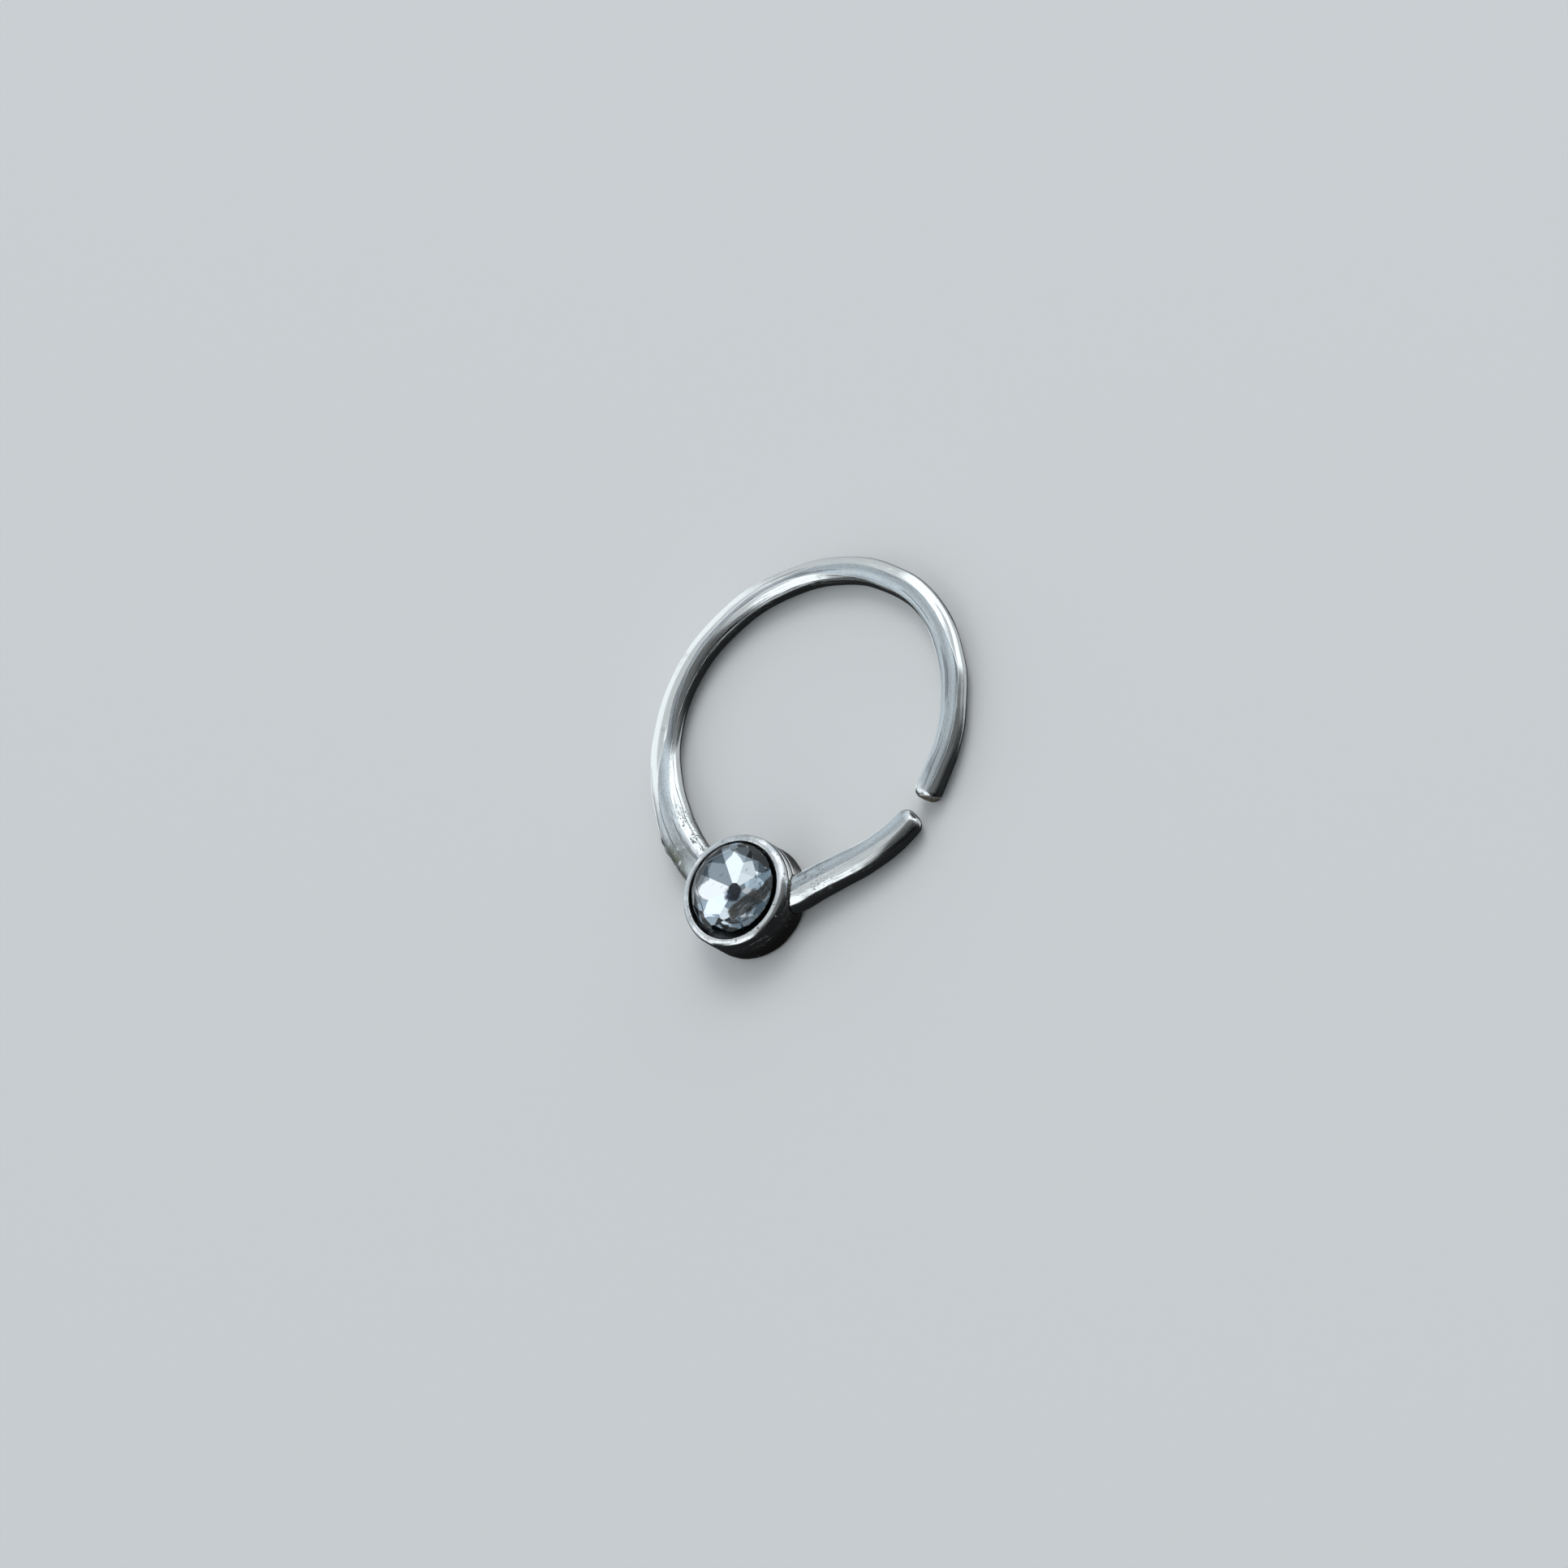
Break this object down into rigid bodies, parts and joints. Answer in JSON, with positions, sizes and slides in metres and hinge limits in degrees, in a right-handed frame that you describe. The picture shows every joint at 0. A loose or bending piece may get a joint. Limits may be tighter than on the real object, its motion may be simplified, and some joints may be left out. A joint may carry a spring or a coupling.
{
  "type": "septum ring",
  "caption": "Open hand-bent wire hoop with a round bezel cup soldered into it that holds a faceted crystal, worn through the septum of the nose.",
  "frame": {"origin": "middle of the ring's outline seen from above, at the height of its underside, where it lies on its side", "axes": "+Z out of the crystal's table, +Y from the cup across the hoop, +X toward the gap between the wire's tips"},
  "size_m": [0.0102, 0.0122, 0.0018],
  "materials": {
    "silver": "hand-polished sterling silver with fine draw lines, pits at the solder and light tarnish in the corners",
    "crystal": "clear cut crystal with a foil-backed pavilion"
  },
  "bodies": {
    "root": {"hoop_with_cup": "silver", "crystal": "crystal"}
  },
  "joints": []
}
